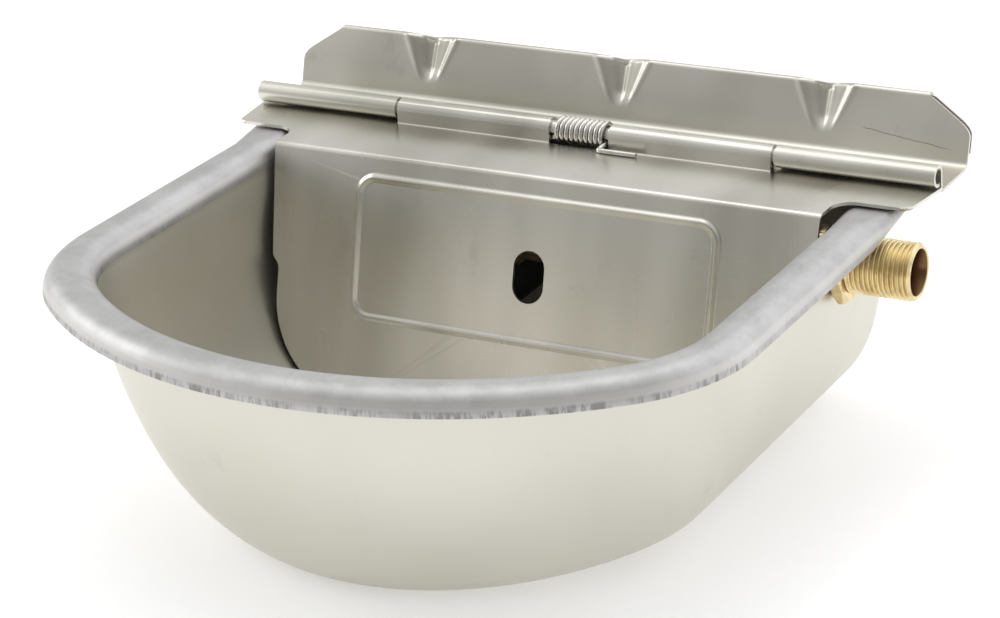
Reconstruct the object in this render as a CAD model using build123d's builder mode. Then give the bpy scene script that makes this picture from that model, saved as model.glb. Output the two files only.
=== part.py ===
from build123d import *
import math
import os

os.makedirs("parts", exist_ok=True)

# Livestock drinking bowl for wall mounting, in millimetres.
# X runs across the bowl, +Y points to the wall, +Z is up. The origin lies on the wall face,
# midway between the two fixing holes.

# Bowl
bowlWidth = 264.0        # over the rolled rim
bowlReach = 270.0        # wall face to the front of the rim
bowlSheet = 1.0
rimRadius = 9.5          # outside radius of the roll
wallBend = 8.0           # bend from the wall into the rim
rimBend = 7.6            # bend from the top of the rim down to its lip
rimLip = 0.4
frontRadius = 163.5      # outside of the rim, broad front curve
cornerRadius = 65.5      # outside of the rim, front corners
rearRadius = 30.0        # inside of the rear corners
floorZ = -82.6           # underside of the bowl
sideTuck = 75.0          # how far the flat of the floor lies inside the wall
frontTuck = 35.0
rearTuck = 12.0
sideBlend = 3.4          # exponents of the curves from wall to floor
frontBlend = 1.9
rearBlend = 7.4
cornerGrowth = 0.2       # share by which the front corners get rounder towards the floor
frontSpare = 0.5         # the front curve's radius is at least this much over half of the width
rollEnd = 39.8           # hinge axis to the place where the roll starts to flatten
shoulderEnd = 13.8       # and to the place where it is flat
shoulderOver = 1.5       # how far the flattened shoulders stand past the rim
shoulderDip = 0.9        # how far they lie below the rim
shoulderBend = 1.2
shoulderLip = 0.2
deckBend = 2.0           # bend from the rear wall into the deck
deckTop = 11.2
fixingPitch = 130.0
fixingRadius = 4.25

# Hinge
leafSheet = 1.2
leafUnder = 12.8         # underside of the cover above the fixing line
hingeY = -38.2
knuckleRadius = 4.05     # outside of the rolled knuckles
hingeOver = 8.0          # how far the hinge stands past the rim on each side
knuckleJoint = 78.0      # where inner and outer knuckles meet
springHalf = 12.4        # half of the opening for the spring
jointGap = 1.2           # between knuckle ends
knuckleBend = 1.2        # middle of the sheet, from the leaf up into the knuckle
knuckleRise = 0.55       # knuckles above the cover
knuckleTurn = 285.0      # degrees of curl after the upright leg
flangeTuck = 1.8         # cover behind the hinge axis, under the outer knuckles
turnGap = 0.5            # between a knuckle and the edge that it turns past
pinGap = 0.05
pinRecess = 6.0
restGap = 0.3            # cover above the rim
springPinGap = 0.3
springCoilHalf = 10.8
wireRadius = 0.7
springLegX = 9.8
springLegY = -46.2
springLegEnd = 25.5

# Cover and baffle
coverReach = 38.1        # hinge axis to the front bend
coverInset = 1.7         # front bend inside the bowl's wall
wingOver = 5.7           # how far the wings stand past the rim
wingFlare = 3.0          # more at their rear
wingReach = 22.3         # hinge axis to the front edge of the wings
notchRadius = 8.0
wingRadius = 4.0
bendRadius = 2.4
baffleLean = 15.0        # degrees, foot towards the front
baffleStepDown = 45.0    # down the slope from the bend
waistInset = 2.0         # the baffle is narrower than the front bend above the step
footInset = 4.9          # and below it
baffleLength = 95.0
baffleCorner = 37.0
slotWidth = 12.6
slotHeight = 19.5
slotDrop = 37.2

# Upright behind the hinge
uprightLean = 16.5       # degrees, top towards the wall
uprightTopZ = 36.4
footBend = 3.5           # middle of the sheet
hemBend = 1.1
hemLength = 19.0         # of the sheet folded down behind the upright
cornerCutX = 18.0
cornerCutZ = 11.5
dartPitch = 83.0
dartHalf = 11.0          # half of the width at the top edge
dartDrop = 17.0          # length down the slope
dartDepth = 2.0
dartTip = 0.2            # half of the width at the foot
dartSetBack = 1.5        # the pressed metal starts this far below the top edge
dartRunOut = 3.0         # the groove is drawn this far past it

# Inlet and float valve
inletY = -66.7
inletZ = -6.5
threadRadius = 10.4775   # G1/2
threadGap = 0.05
threadDepth = 1.162
nutRelief = 0.4          # from the nut's face to the first full thread
inletBore = 8.2
inletReach = 30.0        # beyond the bowl's wall
nutWall = 2.5225         # thread to the flats
nutThick = 4.8
nutTurn = 0.0
washerThick = 1.0
washerRim = 0.8225       # beyond the thread
gasketThick = 1.8
gasketRim = 1.9225       # beyond the thread
collarRim = 1.9225
collarThick = 4.0
barrelRadius = 9.0
barrelBore = 6.2
barrelLength = 40.0      # inwards from the collar
webThick = 6.0           # between the inlet bore and the barrel
webDistance = 6.2        # from the collar's inner face to the web
seatRadius = 4.5
seatOrifice = 2.0
seatNose = 3.2
seatNoseLength = 2.0
plungerGap = 0.1
plungerLength = 16.0
sealThick = 3.7
sealRadius = 5.4
capThick = 3.0
capSpigot = 3.0
leverDrop = 12.0         # pivot below the valve axis
leverThick = 4.0
leverGap = 1.0
nubRadius = 2.4
leverNeck = 2.4          # between nub and hub
hubRadius = 3.6
earThick = 3.0
pivotRadius = 1.6
blockLength = 12.0
blockHeight = 9.0
blockWidth = 8.0
rodRadius = 2.5
rodDrop = 2.5            # rod below the pivot
rodInBlock = 10.0
rodInFloat = 23.7
rodNutFlats = 8.0
rodNutThick = 4.0
floatLength = 66.0
floatDepth = 50.0
floatHeight = 38.0
floatEdge = 8.0
floatEndGap = 30.0       # float to the far wall
floatOffset = 16.7       # middle of the float behind the rod
floatDrop = 5.0          # and below it
eyeRadius = 3.2          # split pin
eyeHole = 1.45
eyeGap = 0.3
tailLength = 3.0
tailShare = 0.6          # of the pin's radius
eyeShare = 0.7           # half of the eye's thickness, of the pin's radius
threadChamfer = 0.6
earMargin = 0.4          # ears round the pivot, beyond the hub
nubGap = 0.4             # plunger slot round the lever's nub
leverSideGap = 0.6       # plunger slot beside the lever
armHeight = 4.2
armRise = 0.6            # arm above the rod's axis
leverEdge = 0.8
rodEdge = 0.4
gasketBite = 0.9         # gasket pressed against the curved wall
pivotShift = 2.0         # pivot from the middle of the plunger, towards the cap
blockOver = 4.0          # lever block under the cap
deckReach = 2.0          # front edge of the deck behind the hinge axis
stepBend = 3.0           # rounding of the step in the baffle's edge
notchEnd = 1.0           # from the web to the slot in the barrel

# Worked-out values
rimHalf = bowlWidth / 2 - rimRadius
rimFrontY = -bowlReach + rimRadius
wallHalf = bowlWidth / 2 - 2 * rimRadius
wallFrontY = -bowlReach + 2 * rimRadius
rimTop = leafUnder - restGap
rimZ = rimTop - rimRadius
shoulderHalf = bowlWidth / 2 + shoulderOver
hingeHalf = bowlWidth / 2 + hingeOver
knuckleEnd = knuckleJoint - jointGap / 2
coverFrontY = hingeY - coverReach
coverHalf = wallHalf - coverInset
baffleWaist = coverHalf - waistInset
baffleHalf = coverHalf - footInset
wingHalf = bowlWidth / 2 + wingOver
wingRearHalf = wingHalf + wingFlare
wingY = hingeY - wingReach
leafTop = leafUnder + leafSheet
hingeZ = leafTop + knuckleRise + knuckleRadius
knuckleMid = knuckleRadius - leafSheet / 2
pinRadius = knuckleRadius - leafSheet - pinGap
springInner = pinRadius + springPinGap
rollEndY = hingeY - rollEnd
shoulderY = hingeY - shoulderEnd
deckY = hingeY + deckReach
deckHalf = shoulderHalf - shoulderBend
diag = math.sqrt(0.5)
rearEdgeY = hingeY - knuckleMid - knuckleBend
flangeRearY = hingeY + flangeTuck
engagedRadius = threadRadius - threadDepth / 2
nutFlats = 2 * (threadRadius + nutWall)
washerRadius = threadRadius + washerRim
gasketRadius = threadRadius + gasketRim
collarRadius = threadRadius + collarRim
washerX = wallHalf + bowlSheet
nutX = washerX + washerThick
freeThreadX = nutX + nutThick + nutRelief
inletEnd = washerX + inletReach
gasketX = wallHalf - gasketBite
collarX = gasketX - gasketThick - collarThick
barrelX = collarX - barrelLength
webX = collarX - webDistance - webThick
seatFaceX = webX - seatNoseLength
sealX = seatFaceX - restGap
plungerX = sealX - plungerLength
leverX = plungerX + plungerLength / 2 - pivotShift
pivotZ = inletZ - leverDrop
rodZ = pivotZ - rodDrop
legZ = leafTop + wireRadius
blockX = barrelX - capThick - blockLength + blockOver
rodStart = blockX + rodInBlock
floatX = floatEndGap + floatLength / 2 - wallHalf
floatY = inletY + floatOffset
floatZ = rodZ - floatDrop
floatFace = floatX + floatLength / 2
rodEnd = floatFace - rodInFloat


def dCorner(halfWidth, frontY, front, corner):
    # Centres of the two front arcs of a D outline, their meeting point and its direction.
    frontCentre = Vector(0, frontY + front)
    cornerX = halfWidth - corner
    reach = front - corner
    cornerCentre = Vector(cornerX, frontCentre.Y - math.sqrt(reach ** 2 - cornerX ** 2))
    aim = (cornerCentre - frontCentre).normalized()
    return cornerCentre, frontCentre + aim * front, aim


def dOutline(halfWidth, frontY, rearY, front, corner, rear, mode=Mode.ADD):
    # A D face: broad front arc, front corners, straight sides, rounded rear corners.
    cornerCentre, meet, aim = dCorner(halfWidth, frontY, front, corner)
    cornerMid = cornerCentre + (aim + Vector(1, 0)).normalized() * corner
    turn = rear * (1 - diag)
    with BuildLine() as edge:
        ThreePointArc((-meet.X, meet.Y), (0, frontY), (meet.X, meet.Y))
        for side in (1, -1):
            ThreePointArc((side * meet.X, meet.Y), (side * cornerMid.X, cornerMid.Y),
                          (side * halfWidth, cornerCentre.Y))
            Line((side * halfWidth, cornerCentre.Y), (side * halfWidth, rearY - rear))
            ThreePointArc((side * halfWidth, rearY - rear),
                          (side * (halfWidth - turn), rearY - turn),
                          (side * (halfWidth - rear), rearY))
        Line((rear - halfWidth, rearY), (halfWidth - rear, rearY))
    make_face(edge.line.edges(), mode=mode)


def tuck(drop, blend):
    # Share of the inward tuck that is reached at a share of the depth.
    return 1 - (1 - drop ** blend) ** (1 / blend)


def bowlLevel(drop, skin, mode=Mode.ADD):
    # Outline of the bowl at a share of its depth, skin outside the inner face.
    halfWidth = wallHalf - sideTuck * tuck(drop, sideBlend)
    scale = halfWidth / wallHalf
    front = (frontRadius - 2 * rimRadius) * scale * (1 - cornerGrowth * drop)
    dOutline(halfWidth + skin,
             wallFrontY + frontTuck * tuck(drop, frontBlend) - skin,
             -bowlSheet - rearTuck * tuck(drop, rearBlend) + skin,
             max(front, halfWidth + frontSpare) + skin,
             (cornerRadius - 2 * rimRadius) * scale * (1 + cornerGrowth * drop) + skin,
             rearRadius * scale + skin, mode)


def rimProfile(top, inner, outer, bend, lip):
    # Section of the rim: foot on the wall, inner bend, crown, outer bend and lip.
    left = Vector(wallHalf + inner, top - inner)
    right = Vector(outer - bend, top - bend)
    with BuildLine() as edge:
        for skin in (0, bowlSheet):
            radius = inner - skin
            Line((wallHalf + skin, rimZ), (wallHalf + skin, left.Y))
            ThreePointArc((wallHalf + skin, left.Y),
                          (left.X - radius * diag, left.Y + radius * diag),
                          (left.X, top - skin))
            radius = bend - skin
            Line((left.X, top - skin), (right.X, top - skin))
            ThreePointArc((right.X, top - skin),
                          (right.X + radius * diag, right.Y + radius * diag),
                          (outer - skin, right.Y))
            Line((outer - skin, right.Y), (outer - skin, right.Y - lip))
        Line((wallHalf, rimZ), (wallHalf + bowlSheet, rimZ))
        Line((outer, right.Y - lip), (outer - bowlSheet, right.Y - lip))
    make_face(edge.line.edges())


def lipProfile(top, outer, bend, lip):
    # The outer bend and lip of the rim by themselves.
    centre = Vector(outer - bend, top - bend)
    with BuildLine() as edge:
        for skin in (0, bowlSheet):
            radius = bend - skin
            ThreePointArc((centre.X, top - skin),
                          (centre.X + radius * diag, centre.Y + radius * diag),
                          (outer - skin, centre.Y))
            Line((outer - skin, centre.Y), (outer - skin, centre.Y - lip))
        Line((centre.X, top), (centre.X, top - bowlSheet))
        Line((outer, centre.Y - lip), (outer - bowlSheet, centre.Y - lip))
    make_face(edge.line.edges())


def sidePlane(side, y):
    # Plane across the rim, its first axis pointing away from the middle of the bowl.
    return Plane(origin=(0, y, 0), x_dir=(side, 0, 0), z_dir=(0, -side, 0))


# Rear deck: the wall carried up and turned out flat under the hinge
with BuildPart() as rearDeck:
    with BuildSketch(Plane.XY.offset(rimZ)):
        bowlLevel(0, bowlSheet)
        bowlLevel(0, 0, Mode.SUBTRACT)
    extrude(amount=deckTop - rimZ)
    with BuildSketch(Plane.XY.offset(deckTop - bowlSheet)):
        with Locations((0, deckY / 2)):
            Rectangle(2 * deckHalf, -deckY)
        bowlLevel(0, 0, Mode.SUBTRACT)
    extrude(amount=bowlSheet)
    split(bisect_by=Plane(origin=(0, deckY, 0), z_dir=(0, 1, 0)), keep=Keep.TOP)
    for side in (1, -1):
        with BuildSketch(sidePlane(side, deckY)):
            lipProfile(deckTop, shoulderHalf, shoulderBend, shoulderLip)
        extrude(amount=side * deckY)

# Bowl body: drawn bowl, rolled rim, flattened shoulders and rear deck
levelAngles = [0, 14, 28, 42, 55, 67, 78, 90]
drops = [math.sin(math.radians(angle)) ** (2 / frontBlend) for angle in levelAngles]
with BuildPart() as bowlBody:
    for drop in drops:
        with BuildSketch(Plane.XY.offset(rimZ - drop * (rimZ - floorZ))):
            bowlLevel(drop, bowlSheet)
    loft()
    for drop in drops:
        with BuildSketch(Plane.XY.offset(rimZ - drop * (rimZ - floorZ - bowlSheet))):
            bowlLevel(drop, 0)
    loft(mode=Mode.SUBTRACT)
    cornerCentre, meet, aim = dCorner(rimHalf, rimFrontY, frontRadius - rimRadius,
                                      cornerRadius - rimRadius)
    cornerMid = cornerCentre + (aim + Vector(1, 0)).normalized() * (cornerRadius - rimRadius)
    with BuildLine(Plane.XY.offset(rimZ)) as rimPath:
        Line((rimHalf, rollEndY), (rimHalf, cornerCentre.Y))
        ThreePointArc((rimHalf, cornerCentre.Y), (cornerMid.X, cornerMid.Y), (meet.X, meet.Y))
        ThreePointArc((meet.X, meet.Y), (0, rimFrontY), (-meet.X, meet.Y))
        ThreePointArc((-meet.X, meet.Y), (-cornerMid.X, cornerMid.Y), (-rimHalf, cornerCentre.Y))
        Line((-rimHalf, cornerCentre.Y), (-rimHalf, rollEndY))
    with BuildSketch(sidePlane(1, rollEndY)):
        rimProfile(rimTop, wallBend, bowlWidth / 2, rimBend, rimLip)
    sweep(path=rimPath.wire())
    for side in (1, -1):
        with BuildSketch(sidePlane(side, rollEndY)):
            rimProfile(rimTop, wallBend, bowlWidth / 2, rimBend, rimLip)
        with BuildSketch(sidePlane(side, shoulderY)):
            rimProfile(rimTop - shoulderDip, wallBend / 2, shoulderHalf, shoulderBend, shoulderLip)
        loft()
        with BuildSketch(sidePlane(side, shoulderY)):
            rimProfile(rimTop - shoulderDip, wallBend / 2, shoulderHalf, shoulderBend, shoulderLip)
        with BuildSketch(sidePlane(side, deckY)):
            rimProfile(deckTop, deckBend, shoulderHalf, shoulderBend, shoulderLip)
        loft()
    add(rearDeck.part)
    with BuildSketch(Plane.XZ):
        with GridLocations(fixingPitch, 1, 2, 1):
            Circle(fixingRadius)
    extrude(amount=3 * bowlSheet, both=True, mode=Mode.SUBTRACT)
    with BuildSketch(Plane.YZ.offset(wallHalf - 5)):
        with Locations((inletY, inletZ)):
            Circle(threadRadius + threadGap)
    extrude(amount=10, mode=Mode.SUBTRACT)
bowlBody.part.label = "bowl_body"
export_step(bowlBody.part, "parts/bowl_body.step")


def knuckle(start, end, legSide, leafZ):
    # A knuckle between two places on X: the leaf turns up at the side legSide along Y and curls on
    # round the pin, its cut edge ending below.
    with BuildSketch(Plane.YZ.offset(start)) as roll:
        with BuildLine() as spine:
            leg = FilletPolyline((hingeY + legSide * (knuckleMid + 2 * knuckleBend), leafZ),
                                 (hingeY + legSide * knuckleMid, leafZ),
                                 (hingeY + legSide * knuckleMid, hingeZ), radius=knuckleBend)
            JernArc(leg @ 1, (0, 1), knuckleMid, legSide * knuckleTurn)
        trace(spine.line.edges(), line_width=leafSheet)
    extrude(roll.sketch, amount=end - start)


# Rear hinge plate: outer knuckles, strip on the deck, and the upright with its hem and darts
stripZ = deckTop + leafSheet / 2
lean = math.radians(uprightLean)
hemStart = Vector(-leafSheet / 2 - hemBend * (1 + math.cos(lean)),
                  uprightTopZ - leafSheet / 2 - hemBend * (1 - math.sin(lean)))
footCorner = hemStart.X - (hemStart.Y - stripZ) * math.tan(lean)
stripFrontY = hingeY + knuckleRadius + turnGap
uprightTop = Vector(0, hemStart.X - leafSheet / 2 * math.cos(lean),
                    hemStart.Y + leafSheet / 2 * math.sin(lean))
uprightPlane = Plane(origin=uprightTop, x_dir=(1, 0, 0), z_dir=(0, -math.cos(lean), math.sin(lean)))
with BuildPart() as hingePlate:
    with BuildSketch(Plane.YZ.offset(-hingeHalf)):
        with BuildLine() as spine:
            rise = FilletPolyline((stripFrontY, stripZ), (footCorner, stripZ),
                                  (hemStart.X, hemStart.Y), radius=footBend)
            hem = JernArc(rise @ 1, (math.sin(lean), math.cos(lean)), hemBend, -180)
            Line(hem @ 1, hem @ 1 - Vector(math.sin(lean), math.cos(lean)) * hemLength)
        trace(spine.line.edges(), line_width=leafSheet)
    extrude(amount=2 * hingeHalf)
    for side in (1, -1):
        knuckle(side * (knuckleEnd + jointGap), side * hingeHalf, 1, stripZ)
        with BuildSketch(Plane.XZ.offset(20)) as corner:
            with BuildLine():
                Polyline((side * (hingeHalf - cornerCutX), uprightTopZ + 1),
                         (side * (hingeHalf - cornerCutX), uprightTopZ),
                         (side * hingeHalf, uprightTopZ - cornerCutZ),
                         (side * (hingeHalf + 1), uprightTopZ - cornerCutZ),
                         (side * (hingeHalf + 1), uprightTopZ + 1), close=True)
            make_face()
        extrude(amount=-25, mode=Mode.SUBTRACT)
    for x in (-dartPitch, 0, dartPitch):
        for shift, rise, mode in ((leafSheet, -dartSetBack, Mode.ADD), (0, dartRunOut, Mode.SUBTRACT)):
            dartPlane = uprightPlane.offset(-shift)
            with BuildSketch(Plane(origin=dartPlane.from_local_coords((x, rise, 0)),
                                   x_dir=(1, 0, 0), z_dir=-dartPlane.y_dir)) as top:
                Polygon((-dartHalf, 0), (dartHalf, 0), (0, -dartDepth), align=None)
            with BuildSketch(Plane(origin=dartPlane.from_local_coords((x, -dartDrop, 0)),
                                   x_dir=(1, 0, 0), z_dir=-dartPlane.y_dir)) as foot:
                Polygon((-dartTip, 0), (dartTip, 0), (0, -dartTip / 2), align=None)
            loft(sections=[top.sketch, foot.sketch], mode=mode)
hingePlate.part.label = "rear_hinge_plate"
export_step(hingePlate.part, "parts/rear_hinge_plate.step")

# Splash cover: flange with wings, inner knuckles and the baffle in one sheet
slope = math.radians(baffleLean)
bafflePlane = Plane(origin=(0, coverFrontY, leafTop), x_dir=(1, 0, 0),
                    z_dir=(0, -math.cos(slope), math.sin(slope)))
with BuildPart() as cover:
    with BuildSketch(Plane.XY.offset(leafUnder)) as flange:
        with BuildLine():
            Polyline((-coverHalf, coverFrontY), (coverHalf, coverFrontY), (coverHalf, wingY),
                     (wingHalf, wingY), (wingRearHalf, flangeRearY), (-wingRearHalf, flangeRearY),
                     (-wingHalf, wingY), (-coverHalf, wingY), close=True)
        make_face()
        notches = flange.vertices().filter_by(
            lambda v: abs(abs(v.X) - coverHalf) < 0.1 and abs(v.Y - wingY) < 0.1)
        fillet(notches, notchRadius)
        tips = flange.vertices().filter_by(lambda v: abs(abs(v.X) - wingHalf) < 0.1)
        fillet(tips, wingRadius)
        with Locations((0, flangeRearY)):
            Rectangle(2 * knuckleEnd, 2 * (flangeRearY - rearEdgeY), mode=Mode.SUBTRACT)
    extrude(amount=leafSheet)
    for side in (1, -1):
        knuckle(side * springHalf, side * knuckleEnd, -1, leafUnder + leafSheet / 2)
    with BuildSketch(bafflePlane) as baffle:
        with BuildLine():
            for side in (1, -1):
                Line((side * coverHalf, 0), (side * baffleWaist, -baffleStepDown + stepBend))
                Bezier((side * baffleWaist, -baffleStepDown + stepBend),
                       (side * baffleWaist, -baffleStepDown), (side * baffleHalf, -baffleStepDown),
                       (side * baffleHalf, -baffleStepDown - stepBend))
                Line((side * baffleHalf, -baffleStepDown - stepBend),
                     (side * baffleHalf, baffleCorner - baffleLength))
                cornerTurn = baffleCorner * (1 - diag)
                ThreePointArc((side * baffleHalf, baffleCorner - baffleLength),
                              (side * (baffleHalf - cornerTurn), cornerTurn - baffleLength),
                              (side * (baffleHalf - baffleCorner), -baffleLength))
            Line((-coverHalf, 0), (coverHalf, 0))
            Line((baffleCorner - baffleHalf, -baffleLength), (baffleHalf - baffleCorner, -baffleLength))
        make_face()
    extrude(amount=-leafSheet)
    bendEdge = cover.edges().filter_by(Axis.X).filter_by(
        lambda e: abs(e.center().Y - coverFrontY) < 0.01 and abs(e.center().Z - leafTop) < 0.01)
    fillet(bendEdge, bendRadius)
    with BuildSketch(bafflePlane.offset(-leafSheet - 1)):
        with Locations((0, -slotDrop)):
            SlotOverall(slotHeight, slotWidth, rotation=90)
    extrude(amount=leafSheet + 2, mode=Mode.SUBTRACT)
cover.part.label = "splash_cover"
export_step(cover.part, "parts/splash_cover.step")


def alongX(start, end, radius, mode=Mode.ADD):
    # A cylinder on the valve axis between two places on X.
    with BuildSketch(Plane.YZ.offset(start)) as disc:
        with Locations((inletY, inletZ)):
            Circle(radius)
    extrude(disc.sketch, amount=end - start, mode=mode)


with BuildPart() as hingePin:
    with BuildSketch(Plane.YZ.offset(pinRecess - hingeHalf)):
        with Locations((hingeY, hingeZ)):
            Circle(pinRadius)
    extrude(amount=2 * (hingeHalf - pinRecess))
hingePin.part.label = "hinge_pin"
export_step(hingePin.part, "parts/hinge_pin.step")

# Torsion spring: the coil on the pin, and the leg that bears on the cover
with BuildPart() as spring:
    with BuildSketch(Plane.YZ.offset(-springCoilHalf)):
        with Locations((hingeY, hingeZ)):
            Circle(springInner + 2 * wireRadius)
            Circle(springInner, mode=Mode.SUBTRACT)
    extrude(amount=2 * springCoilHalf)
    with BuildLine() as legPath:
        FilletPolyline((springLegX, hingeY - springInner - wireRadius, hingeZ),
                       (springLegX, springLegY, legZ), (springLegEnd, springLegY, legZ), radius=1.5)
    with BuildSketch(Plane(origin=legPath.line @ 0, z_dir=legPath.line % 0)):
        Circle(wireRadius)
    sweep(path=legPath.wire())
spring.part.label = "hinge_spring"
export_step(spring.part, "parts/hinge_spring.step")

# Valve body: inlet thread, collar, web with the seat bore, and the slotted barrel with its ears
with BuildPart() as valveBody:
    alongX(barrelX, collarX, barrelRadius)
    alongX(collarX, collarX + collarThick, collarRadius)
    alongX(collarX + collarThick, nutX, threadRadius)
    alongX(nutX, freeThreadX, engagedRadius)
    alongX(freeThreadX, inletEnd, threadRadius)
    chamfer(valveBody.edges().group_by(Axis.X)[-1], threadChamfer)
    earHalf = leverThick / 2 + leverGap
    for side in (1, -1):
        earY = inletY + side * earHalf
        with BuildSketch(Plane.XZ.offset(-earY)):
            with Locations((leverX, pivotZ)):
                Circle(hubRadius + earMargin)
            with Locations((leverX, (pivotZ + inletZ) / 2)):
                Rectangle(2 * (hubRadius + earMargin), leverDrop)
        extrude(amount=-side * earThick)
    alongX(barrelX, webX, barrelBore, Mode.SUBTRACT)
    alongX(webX, webX + webThick, seatRadius, Mode.SUBTRACT)
    alongX(webX + webThick, inletEnd, inletBore, Mode.SUBTRACT)
    with BuildSketch(Plane.XY.offset(inletZ)):
        with Locations(((barrelX + capSpigot + webX) / 2, inletY)):
            Rectangle(webX - barrelX - capSpigot - notchEnd, 2 * earHalf)
    extrude(amount=-2 * barrelRadius, mode=Mode.SUBTRACT)
    with BuildSketch(Plane.XZ.offset(-inletY)):
        with Locations((leverX, pivotZ)):
            Circle(pivotRadius + pinGap)
    extrude(amount=barrelRadius, both=True, mode=Mode.SUBTRACT)
valveBody.part.label = "valve_body"
export_step(valveBody.part, "parts/valve_body.step")

# Seat: a nozzle pressed in the web
with BuildPart() as seat:
    alongX(webX, webX + webThick, seatRadius)
    alongX(seatFaceX, webX, seatNose)
    alongX(seatFaceX, webX + webThick, seatOrifice, Mode.SUBTRACT)
seat.part.label = "valve_seat"
export_step(seat.part, "parts/valve_seat.step")

# Plunger: holds the seal and is moved by the nub of the lever
with BuildPart() as plunger:
    alongX(plungerX, sealX, barrelBore - plungerGap)
    alongX(sealX - sealThick, sealX, sealRadius, Mode.SUBTRACT)
    with BuildSketch(Plane.XZ.offset(-inletY)):
        with Locations((leverX, inletZ - barrelBore / 2)):
            Rectangle(2 * (nubRadius + nubGap), barrelBore + 2 * nubRadius + 1.0)
    extrude(amount=leverThick / 2 + leverSideGap, both=True, mode=Mode.SUBTRACT)
plunger.part.label = "valve_plunger"
export_step(plunger.part, "parts/valve_plunger.step")

with BuildPart() as seal:
    alongX(sealX - sealThick, sealX, sealRadius)
seal.part.label = "plunger_seal"
export_step(seal.part, "parts/plunger_seal.step")

with BuildPart() as cap:
    alongX(barrelX - capThick, barrelX, barrelRadius)
    alongX(barrelX, barrelX + capSpigot, barrelBore)
cap.part.label = "barrel_cap"
export_step(cap.part, "parts/barrel_cap.step")

# Fixing of the valve in the wall
with BuildPart() as gasket:
    alongX(gasketX - gasketThick, gasketX, gasketRadius)
    alongX(gasketX - gasketThick, gasketX, threadRadius + threadGap, Mode.SUBTRACT)
gasket.part.label = "inlet_gasket"
export_step(gasket.part, "parts/inlet_gasket.step")

with BuildPart() as washer:
    alongX(washerX, washerX + washerThick, washerRadius)
    alongX(washerX, washerX + washerThick, threadRadius + threadGap, Mode.SUBTRACT)
washer.part.label = "inlet_washer"
export_step(washer.part, "parts/inlet_washer.step")

with BuildPart() as lockNut:
    with BuildSketch(Plane.YZ.offset(nutX)):
        with Locations((inletY, inletZ)):
            RegularPolygon(nutFlats / 2, 6, major_radius=False, rotation=nutTurn)
            Circle(engagedRadius + threadGap, mode=Mode.SUBTRACT)
    extrude(amount=nutThick)
lockNut.part.label = "inlet_lock_nut"
export_step(lockNut.part, "parts/inlet_lock_nut.step")

# Lever: nub in the plunger, hub on the pivot pin, arm and threaded block for the rod
with BuildPart() as lever:
    with BuildSketch(Plane.XZ.offset(-inletY)) as shape:
        with Locations((leverX, inletZ)):
            Circle(nubRadius)
        with Locations((leverX, pivotZ)):
            Circle(hubRadius)
        with Locations((leverX, (inletZ + pivotZ) / 2)):
            Rectangle(leverNeck, leverDrop)
        with Locations(((leverX + blockX) / 2, rodZ + armRise)):
            Rectangle(leverX - blockX, armHeight)
    extrude(amount=leverThick / 2, both=True)
    with BuildSketch(Plane.YZ.offset(blockX)):
        with Locations((inletY, rodZ)):
            Rectangle(blockWidth, blockHeight)
    extrude(amount=blockLength)
    chamfer(lever.faces().sort_by(Axis.X)[0].edges(), leverEdge)
    with BuildSketch(Plane.XZ.offset(-inletY)):
        with Locations((leverX, pivotZ)):
            Circle(pivotRadius + pinGap)
    extrude(amount=leverThick, both=True, mode=Mode.SUBTRACT)
    with BuildSketch(Plane.YZ.offset(blockX)):
        with Locations((inletY, rodZ)):
            Circle(rodRadius)
    extrude(amount=rodInBlock, mode=Mode.SUBTRACT)
lever.part.label = "float_lever"
export_step(lever.part, "parts/float_lever.step")

# Pivot pin: a split pin with its eye on one side and its spread ends on the other
eyeDistance = earHalf + earThick + eyeGap + eyeRadius
pinHalf = eyeDistance - eyeRadius + (eyeRadius - eyeHole) * eyeShare
with BuildPart() as pivot:
    with BuildSketch(Plane.XZ.offset(-inletY)):
        with Locations((leverX, pivotZ)):
            Circle(pivotRadius)
    extrude(amount=pinHalf, both=True)
    with BuildSketch(Plane.XY.offset(pivotZ)):
        with Locations((leverX, inletY - eyeDistance)):
            Circle(eyeRadius)
            Circle(eyeHole, mode=Mode.SUBTRACT)
    extrude(amount=eyeShare * pivotRadius, both=True)
    for side in (1, -1):
        with BuildSketch(Plane(origin=(leverX, inletY + pinHalf - 0.5, pivotZ), x_dir=(1, 0, 0),
                               z_dir=(0, 0.5, side * 0.86))):
            Circle(tailShare * pivotRadius)
        extrude(amount=tailLength)
pivot.part.label = "lever_pivot_pin"
export_step(pivot.part, "parts/lever_pivot_pin.step")


def rodPiece(start, end, radius, mode=Mode.ADD):
    # A cylinder on the rod's axis between two places on X
    with BuildSketch(Plane.YZ.offset(start)) as disc:
        with Locations((inletY, rodZ)):
            Circle(radius)
    extrude(disc.sketch, amount=end - start, mode=mode)


# Float rod, its lock nuts and the float
with BuildPart() as rod:
    rodPiece(rodEnd, rodStart, rodRadius)
    chamfer(rod.edges(), rodEdge)
rod.part.label = "float_rod"
export_step(rod.part, "parts/float_rod.step")

for label, nutX in (("rod_lock_nut", blockX - rodNutThick), ("float_lock_nut", floatFace)):
    with BuildPart() as rodNut:
        with BuildSketch(Plane.YZ.offset(nutX)):
            with Locations((inletY, rodZ)):
                RegularPolygon(rodNutFlats / 2, 6, major_radius=False)
                Circle(rodRadius + threadGap, mode=Mode.SUBTRACT)
        extrude(amount=rodNutThick)
    rodNut.part.label = label
    export_step(rodNut.part, f"parts/{label}.step")

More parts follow.
